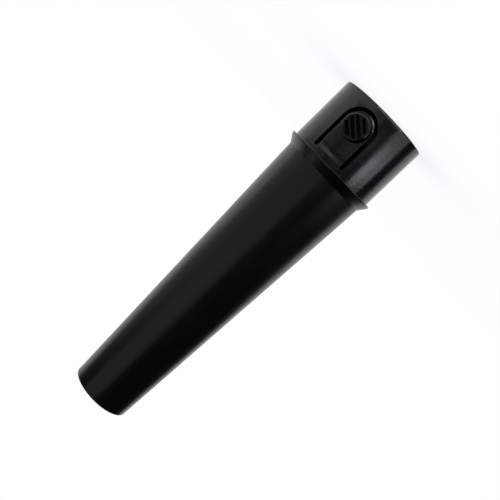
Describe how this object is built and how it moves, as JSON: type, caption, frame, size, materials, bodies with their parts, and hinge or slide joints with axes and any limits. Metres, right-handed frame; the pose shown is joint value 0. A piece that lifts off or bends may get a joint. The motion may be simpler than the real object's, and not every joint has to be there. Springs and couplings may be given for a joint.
{
  "type": "leaf blower nozzle tube",
  "caption": "Tapered moulded plastic nozzle tube for a leaf blower, with a flared collar and a spigot whose spring latch has a grooved thumb button.",
  "frame": {"origin": "centre of the spigot's open end face, on which the tube stands", "axes": "+Z along the airway from the spigot's end to the outlet; the latch and its thumb button face -Y"},
  "size_m": [0.0829, 0.0828, 0.312],
  "materials": {
    "black_plastic": "satin black, finely grained on the cone and smoother on the spigot"
  },
  "bodies": {
    "root": {"nozzle_tube": "black_plastic"}
  },
  "joints": []
}
